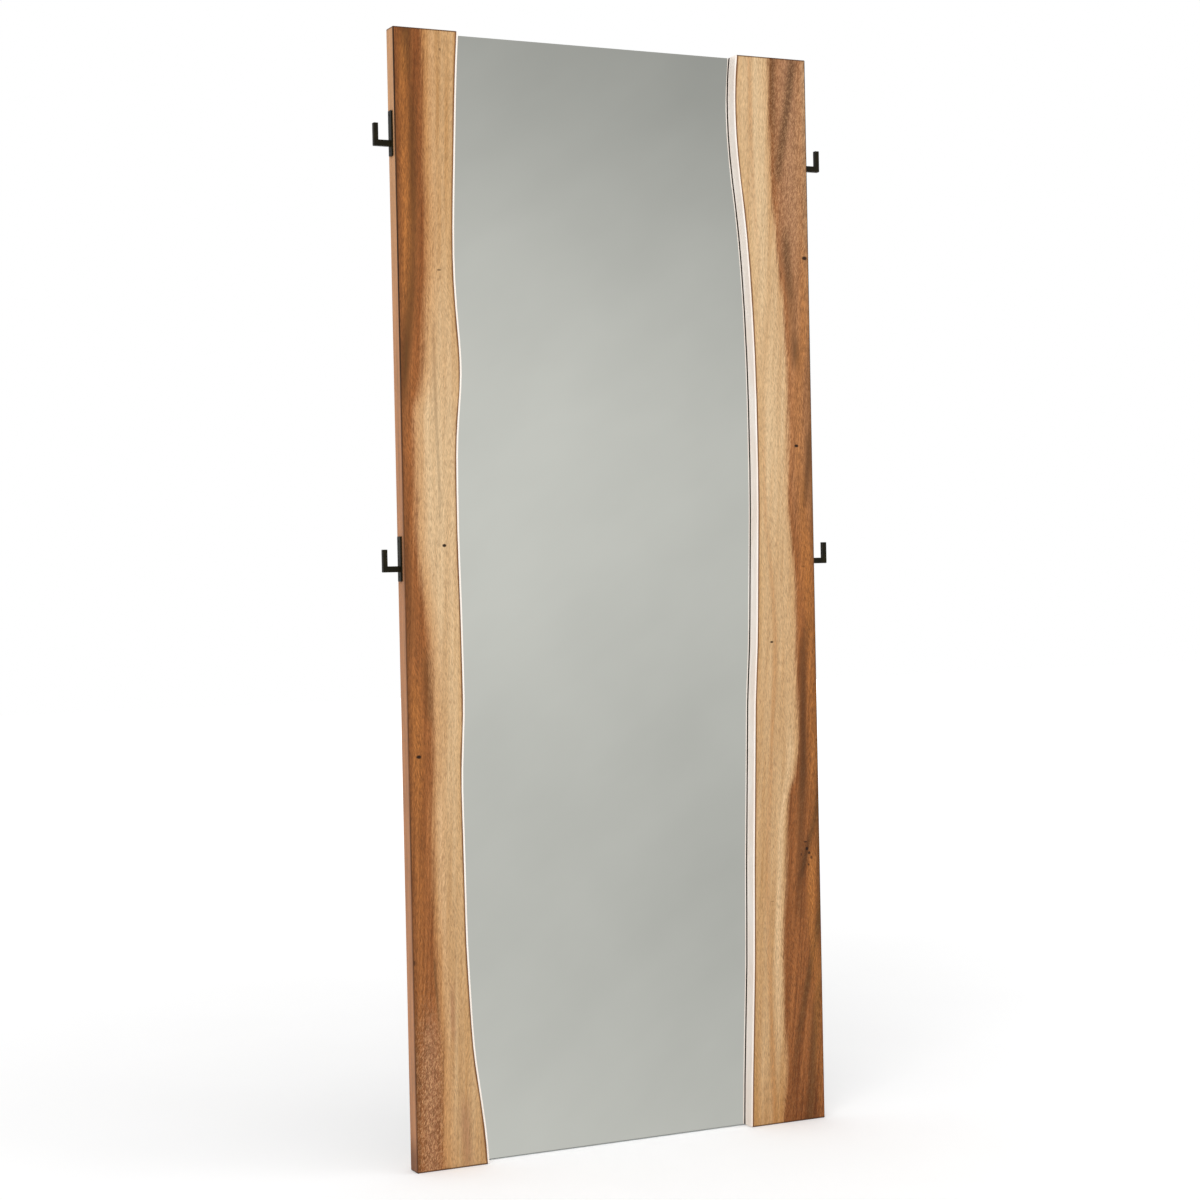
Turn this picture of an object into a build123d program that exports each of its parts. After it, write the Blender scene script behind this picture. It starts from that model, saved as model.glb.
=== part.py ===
"""Floor mirror with two live-edge planks, metal edge bands and four side hooks.

Millimetres. X runs to the viewer's right, Y away from the viewer, Z up.
The origin is on the floor, under the middle of the width and of the depth.
"""
import os

from build123d import *

# Overall size
height = 1980.0
overall_width = 820.0  # over the straight outer edges of the planks
plank_thickness = 32.0

# Width of each plank at even steps from the floor to the top: the live inner edge
left_widths = [132, 123, 110, 104, 100, 99, 98, 98, 103, 103, 102,
               100, 100, 103, 111, 106, 102, 104, 108, 112, 118]
right_widths = [155, 152, 148, 144, 142, 140, 137, 134, 131, 125, 122,
                119, 117, 117, 118, 121, 126, 134, 145, 150, 144]
arris_radius = 1.5  # rounding of the outer long corners
end_chamfer = 0.8

# Glass, its tape, and the rebate in the back of the planks that takes them
glass_thickness = 5.0
tape_thickness = 2.0
glass_lap = 14.0  # least cover of the plank over the rebate
glass_side_gap = 2.0
glass_end_inset = 2.0
glass_seam = 0.8
tape_width = 25.0
tape_count = 5
tape_side_inset = 60.0
tape_end_inset = 60.0

# Metal band along each live edge, and the dark seal that it stands on, in front of the glass
band_thickness = 3.0
band_glue_gap = 0.3
band_end_inset = 1.0
seal_depth = 2.0

# Back panel, the battens across it, and the rail at the floor that the mirror also stands on
panel_thickness = 9.0
panel_side_inset = 30.0
panel_end_inset = 25.0
panel_corner_radius = 8.0
batten_thickness = 18.0
batten_width = 60.0
batten_side_inset = 42.0
batten_end_inset = 72.0  # from the top of the planks to the middle of the top batten
batten_chamfer = 3.0

# Rubber bumpers on the top batten and the foot rail
bumper_diameter = 14.0
bumper_height = 3.0
bumper_side_inset = 110.0
bumper_chamfer = 1.0

# Countersunk wood screws of the battens and the hooks
screw_gap = 0.1  # around every screw, all the way along
batten_screw_diameter = 4.5
batten_screw_head_diameter = 9.0
batten_screw_length = 48.0
hook_screw_diameter = 4.0
hook_screw_head_diameter = 8.0
hook_screw_length = 28.0

# Pan-head wood screws of the back panel and the hangers
pan_screw_diameter = 4.0
pan_head_diameter = 8.0
pan_head_height = 2.2
pan_head_chamfer = 0.8
panel_screw_length = 30.0
panel_screws_per_bay = 2
fixing_inset = 57.0  # from the outer edge of a plank to its line of screws

# Hooks
hook_plate_height = 78.0
hook_plate_width = 14.0
hook_plate_thickness = 3.5
hook_plate_corner = 1.5
hook_screw_inset = 8.5
hook_bar_depth = 8.0
hook_arm_height = 10.5
hook_post_width = 8.0
hook_throat = 22.5
hook_arm_drop = 17.5  # from the middle of the plate down to the middle of the arm
hook_post_rise = 29.0  # above the top of the arm
hook_edge_radius = 0.8
hook_bend_radius = 1.5
upper_hook_drop = 182.0  # from the top of the planks to the middle of the upper plates
hook_spacing = 734.0  # between the middles of the upper and the lower plates

# D-ring hangers
strap_thickness = 1.5
strap_width = 14.0
strap_length = 35.0
strap_end_radius = 5.0
ring_wire_diameter = 3.5
ring_wire_sides = 12
ring_running_gap = 0.08
ring_inner_width = 23.0
ring_inner_height = 16.0
ring_corner_radius = 4.0
hanger_drop = 230.0  # from the top of the planks to the axes of the rings
hanger_first_screw = 9.5  # above the ring's axis
hanger_screw_spacing = 17.0
hanger_screw_length = 22.0

# Levels along Y, from the front face of the planks to the face of the bumpers
total_depth = plank_thickness + panel_thickness + batten_thickness + bumper_height
front_y = -total_depth / 2
plank_back_y = front_y + plank_thickness
panel_back_y = plank_back_y + panel_thickness
batten_back_y = panel_back_y + batten_thickness
rebate_depth = glass_thickness + tape_thickness
glass_front_y = plank_back_y - rebate_depth
band_back_y = glass_front_y - seal_depth
plank_middle_y = front_y + plank_thickness / 2
hanger_head_y = panel_back_y + strap_thickness
loop_bore_radius = ring_wire_diameter / 2 + ring_running_gap
loop_outer_radius = loop_bore_radius + strap_thickness
loop_y = panel_back_y + loop_outer_radius

# Places along X
half_width = overall_width / 2
left_rebate_x = -half_width + min(left_widths) - glass_lap
right_rebate_x = half_width - min(right_widths) + glass_lap
glass_left_x = left_rebate_x + glass_side_gap
glass_right_x = right_rebate_x - glass_side_gap
glass_width = glass_right_x - glass_left_x
glass_middle_x = (glass_left_x + glass_right_x) / 2
fixing_x = half_width - fixing_inset

# Places along Z
middle_z = height / 2
foot_rail_z = batten_width / 2
top_batten_z = height - batten_end_inset
hanger_height = height - hanger_drop
upper_hook_height = height - upper_hook_drop
lower_hook_height = upper_hook_height - hook_spacing
batten_levels = {"top_batten": top_batten_z, "middle_batten": middle_z, "foot_rail": foot_rail_z}
bays = [(foot_rail_z, middle_z), (middle_z, top_batten_z)]
panel_screw_levels = [
    low + (high - low) * step / (panel_screws_per_bay + 1)
    for low, high in bays
    for step in range(1, panel_screws_per_bay + 1)
]
hanger_screw_levels = [hanger_height + hanger_first_screw + step * hanger_screw_spacing for step in (0, 1)]

panel_screw_places = [(sign * fixing_x, level) for sign in (-1, 1) for level in panel_screw_levels]
batten_screw_places = [(sign * fixing_x, level) for sign in (-1, 1) for level in batten_levels.values()]
hanger_screw_places = [(sign * fixing_x, level) for sign in (-1, 1) for level in hanger_screw_levels]

# Each hook: the side that it stands out on, and the height of the middle of its plate
hooks = {
    "left_upper_hook": (-1, upper_hook_height),
    "left_lower_hook": (-1, lower_hook_height),
    "right_upper_hook": (1, upper_hook_height),
    "right_lower_hook": (1, lower_hook_height),
}
hook_screw_offset = hook_plate_height / 2 - hook_screw_inset


def y_plane(y):
    """Upright plane across the mirror at a level along Y, facing the viewer."""
    return Plane.XZ.offset(-y)


def side_plane(side, level, lift=0.0):
    """Plane on a plank's outer side face, at a height, facing out."""
    return Plane(
        origin=(side * (half_width + lift), plank_middle_y, level),
        x_dir=(0, 1, 0),
        z_dir=(side, 0, 0),
    )


def edge_points(side, widths, shift=0.0):
    """Points of a live edge from the floor up, moved by shift towards the glass."""
    step = height / (len(widths) - 1)
    return [(side * (half_width - width - shift), place * step) for place, width in enumerate(widths)]


def save(part, name):
    """Label one finished piece and write its file."""
    part.label = name
    export_step(part, f"parts/{name}.step")


def make_stile(side, widths, rebate_x):
    """One plank: live inner edge, straight outer edge, rebate for the glass, holes for its screws."""
    outer_x = side * half_width
    with BuildPart() as stile:
        with BuildSketch(y_plane(plank_back_y)):
            with BuildLine():
                live_edge = Spline(*edge_points(side, widths))
                Polyline(live_edge @ 1, (outer_x, height), (outer_x, 0), live_edge @ 0)
            make_face()
        extrude(amount=plank_thickness)
        outer_corners = stile.edges().filter_by(Axis.Z).group_by(Axis.X)[0 if side < 0 else -1]
        fillet(outer_corners, arris_radius)
        end_corners = stile.faces().filter_by(Axis.Z).edges().filter_by(Axis.X)
        chamfer(end_corners, end_chamfer)

        # Rebate, open to the back, to the glass side and at both ends
        with BuildSketch(y_plane(plank_back_y)):
            with Locations((rebate_x, middle_z)):
                Rectangle(max(widths), height, align=(Align.MAX if side > 0 else Align.MIN, Align.CENTER))
        extrude(amount=rebate_depth, mode=Mode.SUBTRACT)

        # Holes for the screws that come through the panel, the battens and the hanger straps
        hole_sets = (
            (panel_screw_places, pan_screw_diameter, panel_screw_length - panel_thickness),
            (
                batten_screw_places,
                batten_screw_diameter,
                batten_screw_length - panel_thickness - batten_thickness,
            ),
            (
                hanger_screw_places,
                pan_screw_diameter,
                hanger_screw_length - panel_thickness - strap_thickness,
            ),
        )
        for places, diameter, depth in hole_sets:
            with BuildSketch(y_plane(plank_back_y)):
                with Locations(*[place for place in places if place[0] * side > 0]):
                    Circle(diameter / 2 + screw_gap)
            extrude(amount=depth + screw_gap, mode=Mode.SUBTRACT)

        # Holes for the hook screws, in the outer side face
        for hook_side, level in hooks.values():
            if hook_side == side:
                with BuildSketch(side_plane(side, level)):
                    with Locations((0, hook_screw_offset), (0, -hook_screw_offset)):
                        Circle(hook_screw_diameter / 2 + screw_gap)
                depth = hook_screw_length - hook_plate_thickness + screw_gap
                extrude(amount=-depth, mode=Mode.SUBTRACT)
    return stile.part


def make_edge_strip(side, widths, back_y, depth):
    """Strip that follows a live edge: its back face at a level along Y, its depth towards the viewer."""
    near = edge_points(side, widths, band_glue_gap)
    far = edge_points(side, widths, band_glue_gap + band_thickness)
    with BuildPart() as strip:
        with BuildSketch(y_plane(back_y)):
            with BuildLine():
                wood_side = Spline(*near)
                glass_side = Spline(*far)
                Line(wood_side @ 0, glass_side @ 0)
                Line(wood_side @ 1, glass_side @ 1)
            make_face()
            with Locations((0, middle_z)):
                Rectangle(overall_width, height - 2 * band_end_inset, mode=Mode.INTERSECT)
        extrude(amount=depth)
    return strip.part


def make_countersunk_screw(diameter, head_diameter, length):
    """Countersunk screw: head face at the origin, shank down the -Z axis."""
    radius = diameter / 2
    head_radius = head_diameter / 2
    head_depth = head_radius - radius
    with BuildPart() as screw:
        with BuildSketch(Plane.XZ):
            with BuildLine():
                Polyline(
                    (0, 0),
                    (head_radius, 0),
                    (radius, -head_depth),
                    (radius, -length),
                    (0, -length),
                    (0, 0),
                )
            make_face()
        revolve(axis=Axis.Z)
    return screw.part


def make_pan_head_screw(length):
    """Pan-head screw: underside of the head at the origin, shank down the -Z axis."""
    radius = pan_screw_diameter / 2
    head_radius = pan_head_diameter / 2
    with BuildPart() as screw:
        with BuildSketch(Plane.XZ):
            with BuildLine():
                Polyline(
                    (0, pan_head_height),
                    (head_radius - pan_head_chamfer, pan_head_height),
                    (head_radius, pan_head_height - pan_head_chamfer),
                    (head_radius, 0),
                    (radius, 0),
                    (radius, -length),
                    (0, -length),
                    (0, pan_head_height),
                )
            make_face()
        revolve(axis=Axis.Z)
    return screw.part


def place_group(screw, places):
    """One group of separate, identical screws."""
    with BuildPart() as group:
        with Locations(*places):
            add(screw)
    return group.part


def back_places(places, y):
    """Locations on the back of the mirror: the screw's head faces away from the viewer."""
    return [Location((x, y, z), (-90, 0, 0)) for x, z in places]


def make_batten(level):
    """Cross batten on the back panel, with a countersunk hole for each of its screws."""
    with BuildPart() as batten:
        with BuildSketch(y_plane(batten_back_y)):
            with Locations((0, level)):
                Rectangle(overall_width - 2 * batten_side_inset, batten_width)
        extrude(amount=batten_thickness)
        chamfer(batten.faces().sort_by(Axis.Y)[-1].edges(), batten_chamfer)
        own_screws = [place for place in batten_screw_places if abs(place[1] - level) < batten_width / 2]
        with Locations(*back_places(own_screws, batten_back_y)):
            CounterSinkHole(
                batten_screw_diameter / 2 + screw_gap,
                batten_screw_head_diameter / 2 + screw_gap,
                depth=batten_thickness,
                counter_sink_angle=90,
            )
    return batten.part


def make_hook(side, level):
    """Fixed hook: a flat plate with a square bar bent up from it, all one welded piece."""
    arm_middle = level - hook_arm_drop
    arm_bottom = arm_middle - hook_arm_height / 2
    arm_top = arm_middle + hook_arm_height / 2
    post_top = arm_top + hook_post_rise
    face_x = half_width + hook_plate_thickness
    inner_x = face_x + hook_throat
    outer_x = inner_x + hook_post_width
    with BuildPart(side_plane(side, level)) as hook:
        with BuildSketch(y_plane(plank_middle_y)):
            with BuildLine():
                Polyline(
                    (side * face_x, arm_bottom),
                    (side * outer_x, arm_bottom),
                    (side * outer_x, post_top),
                    (side * inner_x, post_top),
                    (side * inner_x, arm_top),
                    (side * face_x, arm_top),
                    (side * face_x, arm_bottom),
                )
            make_face()
        extrude(amount=hook_bar_depth / 2, both=True)
        outer_bend = hook.edges().filter_by(Axis.Y).group_by(Axis.Z)[0].sort_by(Axis.X)[0 if side < 0 else -1]
        fillet(outer_bend, hook_bend_radius)
        fillet(hook.faces().sort_by(Axis.Z)[-1].edges(), hook_edge_radius)
        with BuildSketch(side_plane(side, level)):
            RectangleRounded(hook_plate_width, hook_plate_height, hook_plate_corner)
        extrude(amount=hook_plate_thickness)
        with Locations(*[(0, sign * hook_screw_offset, hook_plate_thickness) for sign in (-1, 1)]):
            CounterSinkHole(
                hook_screw_diameter / 2 + screw_gap,
                hook_screw_head_diameter / 2 + screw_gap,
                depth=hook_plate_thickness,
                counter_sink_angle=90,
            )
    return hook.part


def make_hanger_strap(x):
    """Folded strap of a D-ring hanger: screwed plate above, loop for the ring below."""
    with BuildPart() as strap:
        with BuildSketch(Plane.YZ.offset(x - strap_width / 2)):
            with Locations((loop_y, hanger_height)):
                Circle(loop_outer_radius)
            with Locations((panel_back_y, hanger_height)):
                Rectangle(strap_thickness, strap_length, align=(Align.MIN, Align.MIN))
            with Locations((loop_y, hanger_height)):
                Circle(loop_bore_radius, mode=Mode.SUBTRACT)
        extrude(amount=strap_width)
        fillet(strap.edges().filter_by(Axis.Y).group_by(Axis.Z)[-1], strap_end_radius)
        strap_places = [(x, level) for level in hanger_screw_levels]
        with Locations(*back_places(strap_places, hanger_head_y)):
            Hole(pan_screw_diameter / 2 + screw_gap, depth=strap_thickness)
    return strap.part


def make_hanger_ring(x):
    """Wire D-ring: straight bar through the strap's loop and a half-round bow hanging below."""
    bow_radius = (ring_inner_width + ring_wire_diameter) / 2
    bow_drop = ring_inner_height + ring_wire_diameter - bow_radius
    bar_half = bow_radius - ring_corner_radius
    with BuildPart() as ring:
        with BuildLine(y_plane(loop_y)):
            bar = Line((x - bar_half, hanger_height), (x + bar_half, hanger_height))
            near_corner = JernArc(bar @ 1, (1, 0), ring_corner_radius, -90)
            near_side = Line(near_corner @ 1, (x + bow_radius, hanger_height - bow_drop))
            bow = JernArc(near_side @ 1, (0, -1), bow_radius, -180)
            far_side = Line(bow @ 1, (x - bow_radius, hanger_height - ring_corner_radius))
            JernArc(far_side @ 1, (0, 1), ring_corner_radius, -90)
        with BuildSketch(Plane(origin=(x - bar_half, loop_y, hanger_height), z_dir=(1, 0, 0))):
            RegularPolygon(ring_wire_diameter / 2, ring_wire_sides)
        sweep()
    return ring.part


os.makedirs("parts", exist_ok=True)

# Planks, with the metal bands and the seals along their live edges
save(make_stile(-1, left_widths, left_rebate_x), "left_stile")
save(make_stile(1, right_widths, right_rebate_x), "right_stile")
for side_name, side, widths in (("left", -1, left_widths), ("right", 1, right_widths)):
    save(make_edge_strip(side, widths, band_back_y, band_back_y - front_y), f"{side_name}_edge_band")
    save(make_edge_strip(side, widths, glass_front_y, seal_depth), f"{side_name}_edge_seal")

# Glass
with BuildPart() as mirror_glass:
    with BuildSketch(y_plane(glass_front_y + glass_thickness)):
        with Locations((glass_middle_x, middle_z)):
            Rectangle(glass_width, height - 2 * glass_end_inset)
    extrude(amount=glass_thickness)
    chamfer(mirror_glass.faces().sort_by(Axis.Y)[-1].edges(), glass_seam)
save(mirror_glass.part, "mirror_glass")

# Tape strips between the glass and the back panel
with BuildPart() as glass_tape:
    with BuildSketch(y_plane(plank_back_y)):
        with Locations((glass_middle_x, middle_z)):
            with GridLocations((glass_width - 2 * tape_side_inset) / (tape_count - 1), 0, tape_count, 1):
                Rectangle(tape_width, height - 2 * tape_end_inset)
    extrude(amount=tape_thickness)
save(glass_tape.part, "glass_tape")

# Back panel, with a hole for every screw that goes through it
with BuildPart() as back_panel:
    with BuildSketch(y_plane(panel_back_y)):
        with Locations((0, middle_z)):
            RectangleRounded(
                overall_width - 2 * panel_side_inset,
                height - 2 * panel_end_inset,
                panel_corner_radius,
            )
    extrude(amount=panel_thickness)
    with Locations(*back_places(panel_screw_places + hanger_screw_places, panel_back_y)):
        Hole(pan_screw_diameter / 2 + screw_gap, depth=panel_thickness)
    with Locations(*back_places(batten_screw_places, panel_back_y)):
        Hole(batten_screw_diameter / 2 + screw_gap, depth=panel_thickness)
save(back_panel.part, "back_panel")

# Battens, the foot rail and the bumpers on them
for name, level in batten_levels.items():
    save(make_batten(level), name)

bumper_x = half_width - bumper_side_inset
bumper_places = [(sign * bumper_x, level) for level in (top_batten_z, foot_rail_z) for sign in (-1, 1)]
with BuildPart() as wall_bumpers:
    with Locations(*back_places(bumper_places, batten_back_y)):
        Cylinder(bumper_diameter / 2, bumper_height, align=(Align.CENTER, Align.CENTER, Align.MIN))
    chamfer(wall_bumpers.edges().group_by(Axis.Y)[-1], bumper_chamfer)
save(wall_bumpers.part, "wall_bumpers")

# Hooks
for name, (side, level) in hooks.items():
    save(make_hook(side, level), name)

# D-ring hangers
for side_name, side in (("left", -1), ("right", 1)):
    save(make_hanger_strap(side * fixing_x), f"{side_name}_hanger_strap")
    save(make_hanger_ring(side * fixing_x), f"{side_name}_hanger_ring")

# Screws
panel_screw = make_pan_head_screw(panel_screw_length)
save(place_group(panel_screw, back_places(panel_screw_places, panel_back_y)), "panel_screws")

hanger_screw = make_pan_head_screw(hanger_screw_length)
save(place_group(hanger_screw, back_places(hanger_screw_places, hanger_head_y)), "hanger_screws")

batten_screw = make_countersunk_screw(batten_screw_diameter, batten_screw_head_diameter, batten_screw_length)
save(place_group(batten_screw, back_places(batten_screw_places, batten_back_y)), "batten_screws")

hook_screw = make_countersunk_screw(hook_screw_diameter, hook_screw_head_diameter, hook_screw_length)
hook_screw_places = [
    side_plane(side, level + sign * hook_screw_offset, hook_plate_thickness).location
    for side, level in hooks.values()
    for sign in (-1, 1)
]
save(place_group(hook_screw, hook_screw_places), "hook_screws")
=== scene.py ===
"""Floor mirror with two live-edge planks: its looks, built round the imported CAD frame."""

import logging
import math
from dataclasses import dataclass
from enum import Enum
from typing import Iterable, Optional, Sequence, Union

import bmesh
import bpy
from bmesh.types import BMEdge, BMesh, BMVert
from bpy.types import Material, Node, NodeSocket, NodeTree, Object
from mathutils import Matrix, Vector


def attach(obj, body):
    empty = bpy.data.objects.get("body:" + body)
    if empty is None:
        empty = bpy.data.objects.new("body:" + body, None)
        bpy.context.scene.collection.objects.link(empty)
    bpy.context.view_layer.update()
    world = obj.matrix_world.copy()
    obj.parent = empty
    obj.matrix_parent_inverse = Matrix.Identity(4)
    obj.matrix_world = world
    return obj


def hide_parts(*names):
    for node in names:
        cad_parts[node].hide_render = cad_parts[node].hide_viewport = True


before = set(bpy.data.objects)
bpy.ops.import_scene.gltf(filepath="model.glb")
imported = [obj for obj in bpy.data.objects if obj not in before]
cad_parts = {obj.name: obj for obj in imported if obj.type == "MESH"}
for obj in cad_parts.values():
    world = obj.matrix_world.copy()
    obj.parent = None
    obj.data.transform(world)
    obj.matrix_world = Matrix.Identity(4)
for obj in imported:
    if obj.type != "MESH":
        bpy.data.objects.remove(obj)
log = logging.getLogger("floor_mirror")

MM = 0.001
WHITE = (1.0, 1.0, 1.0, 1.0)
MIDDLE = 0.5
MERGE = 1e-6
SHARP = math.radians(32)

Points = Sequence[tuple[float, float]]
Edges = list[BMEdge]


class Body(Enum):
    """The bodies that a piece can ride on."""

    FRAME = "frame"
    LEFT_RING = "left_ring"
    RIGHT_RING = "right_ring"


def screen(red: float, green: float, blue: float) -> tuple[float, float, float, float]:
    """Turn a colour as the screen shows it, 0 to 255, into the linear colour that a shader takes.

    Args:
        red: red, 0 to 255.
        green: green, 0 to 255.
        blue: blue, 0 to 255.

    Returns:
        The linear colour with an alpha of 1.
    """
    parts = [part / 255 for part in (red, green, blue)]
    linear = [p / 12.92 if p <= 0.04045 else ((p + 0.055) / 1.055) ** 2.4 for p in parts]
    return (linear[0], linear[1], linear[2], 1.0)


class Grain(Enum):
    """Colours of the planks' wood and of the marks in it, as the screen shows them, 0 to 255."""

    HEART_DEEP = (104, 54, 22)
    HEART_WARM = (176, 112, 62)
    SAP_DEEP = (180, 132, 80)
    SAP_PALE = (216, 184, 142)
    OLIVE = (78, 52, 24)
    UMBER = (64, 40, 20)
    RUSSET = (132, 78, 40)
    AMBER = (178, 114, 56)
    GREY = (164, 120, 90)
    ASH = (184, 148, 112)
    PALE = (226, 194, 152)
    MOTTLE_DEEP = (104, 62, 34)
    MOTTLE_PALE = (204, 156, 110)
    STAIN = (190, 132, 76)
    PORE = (118, 76, 40)
    KNOT = (26, 14, 8)
    GOLDEN = (196, 146, 86)
    GLUE = (116, 74, 42)
    OUTER_EDGE_DARK = (112, 68, 36)
    FLANK = (180, 126, 88)
    FLANK_TOP_LIT = (206, 158, 112)
    FLANK_FOOT_SHADE = (112, 70, 42)
    FLANK_FRONT_SHADE = (120, 74, 46)
    ARRIS_SHADE = (38, 22, 12)
    END = (74, 46, 26)

    @property
    def paint(self) -> tuple[float, float, float, float]:
        """The linear colour that a shader takes."""
        return screen(*self.value)


class Value:
    """A number that changes over a surface: a socket whose operators add Math nodes."""

    def __init__(self, bench: "Nodes", socket: NodeSocket) -> None:
        """Wrap one number socket."""
        self.bench = bench
        self.socket = socket

    def _math(self, operation: str, *parts: "Number") -> "Value":
        """Add one Math node.

        Args:
            operation: the Math node's operation.
            *parts: its inputs in order.

        Returns:
            The node's result.
        """
        node = self.bench.node("ShaderNodeMath", {"operation": operation}, dict(enumerate(parts)))
        return Value(self.bench, node.outputs[0])

    def __add__(self, other: "Number") -> "Value":
        """Sum."""
        return self._math("ADD", self, other)

    __radd__ = __add__

    def __sub__(self, other: "Number") -> "Value":
        """Difference."""
        return self._math("SUBTRACT", self, other)

    def __rsub__(self, other: "Number") -> "Value":
        """Difference, with this value taken away."""
        return self._math("SUBTRACT", other, self)

    def __mul__(self, other: "Number") -> "Value":
        """Product."""
        return self._math("MULTIPLY", self, other)

    __rmul__ = __mul__

    def __truediv__(self, other: "Number") -> "Value":
        """Quotient."""
        return self._math("DIVIDE", self, other)

    def __abs__(self) -> "Value":
        """Size without sign."""
        return self._math("ABSOLUTE", self)

    def length(self, other: "Number") -> "Value":
        """Length of the diagonal of this value and another."""
        return self._math("SQRT", self * self + other * other)

    def most(self, other: "Number") -> "Value":
        """The larger of this value and another."""
        return self._math("MAXIMUM", self, other)

    def power(self, exponent: float) -> "Value":
        """Raise to a power."""
        return self._math("POWER", self, exponent)

    def step(self, start: float, end: float) -> "Value":
        """Read a smooth step.

        Args:
            start: where the step is 0.
            end: where the step is 1, above or below start.

        Returns:
            The step.
        """
        smooth = {"interpolation_type": "SMOOTHSTEP"}
        sockets = {0: self, 1: start, 2: end, 3: 0.0, 4: 1.0}
        return Value(self.bench, self.bench.node("ShaderNodeMapRange", smooth, sockets).outputs[0])

    def curve(self, points: Points) -> "Value":
        """Read a smooth curve at this value.

        Args:
            points: places from 0 to 1 and the curve's height at each, from 0 to 1.

        Returns:
            The curve's height.
        """
        node = self.bench.node("ShaderNodeFloatCurve", {"points": points}, {0: 1.0, 1: self})
        return Value(self.bench, node.outputs[0])


Number = Union[Value, float]


class Colour:
    """A colour that changes over a surface."""

    def __init__(self, bench: "Nodes", socket: NodeSocket) -> None:
        """Wrap one colour socket."""
        self.bench = bench
        self.socket = socket

    def mix(self, other: "Paint", share: Number) -> "Colour":
        """Blend towards another colour.

        Args:
            other: the other colour.
            share: how much of it, 0 to 1.

        Returns:
            The blend.
        """
        node = self.bench.node("ShaderNodeMix", {"data_type": "RGBA"}, {0: share, 6: self, 7: other})
        return Colour(self.bench, node.outputs[2])

    def shade(self, level: Number) -> "Colour":
        """Make the colour lighter or darker by a factor."""
        node = self.bench.node("ShaderNodeVectorMath", {"operation": "SCALE"}, {0: self, 3: level})
        return Colour(self.bench, node.outputs[0])


Paint = Union[Colour, tuple[float, float, float, float]]


class Nodes:
    """One node tree, to which every node is added by the same method."""

    def __init__(self, tree: NodeTree, output: str) -> None:
        """Start a tree with nothing but its output.

        Args:
            tree: the tree.
            output: the type of its output node.
        """
        self.tree = tree
        self.tree.nodes.clear()
        self.output = self.node(output)

    def node(
        self,
        kind: str,
        settings: Optional[dict[str, object]] = None,
        inputs: Optional[dict[Union[int, str], object]] = None,
    ) -> Node:
        """Add one node: its settings first, then its sockets.

        Args:
            kind: the node's type.
            settings: its settings by name; points holds a curve's points.
            inputs: values or links by socket name or number.

        Returns:
            The node.
        """
        made = self.tree.nodes.new(kind)
        for name, setting in (settings or {}).items():
            if name == "points":
                self._bend(made, setting)
            else:
                setattr(made, name, setting)
        for name, value in (inputs or {}).items():
            socket = made.inputs[name]
            if isinstance(value, (Value, Colour)):
                self.tree.links.new(value.socket, socket)
            elif isinstance(value, NodeSocket):
                self.tree.links.new(value, socket)
            else:
                socket.default_value = value
        return made

    @staticmethod
    def _bend(node: Node, points: Points) -> None:
        """Give a curve node its points.

        Args:
            node: the curve node.
            points: places from 0 to 1 and the curve's height at each.
        """
        ordered = sorted(points)
        curve = node.mapping.curves[0]
        curve.points[0].location = ordered[0]
        curve.points[1].location = ordered[-1]
        for spot in ordered[1:-1]:
            curve.points.new(*spot)
        for point in curve.points:
            point.handle_type = "AUTO_CLAMPED"
        node.mapping.update()

    def seen(self) -> Value:
        """Tell the rays that show a thing from those that only light it.

        Returns:
            1 for what is seen straight, in gloss or through glass, and 0 for light.
        """
        rays = self.node("ShaderNodeLightPath").outputs
        seen = Value(self, rays["Is Camera Ray"]).most(Value(self, rays["Is Glossy Ray"]))
        return seen.most(Value(self, rays["Is Transmission Ray"]))

    def close(self, shader: Node) -> None:
        """Link the last shader to the output."""
        self.tree.links.new(shader.outputs[0], self.output.inputs[0])


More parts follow.
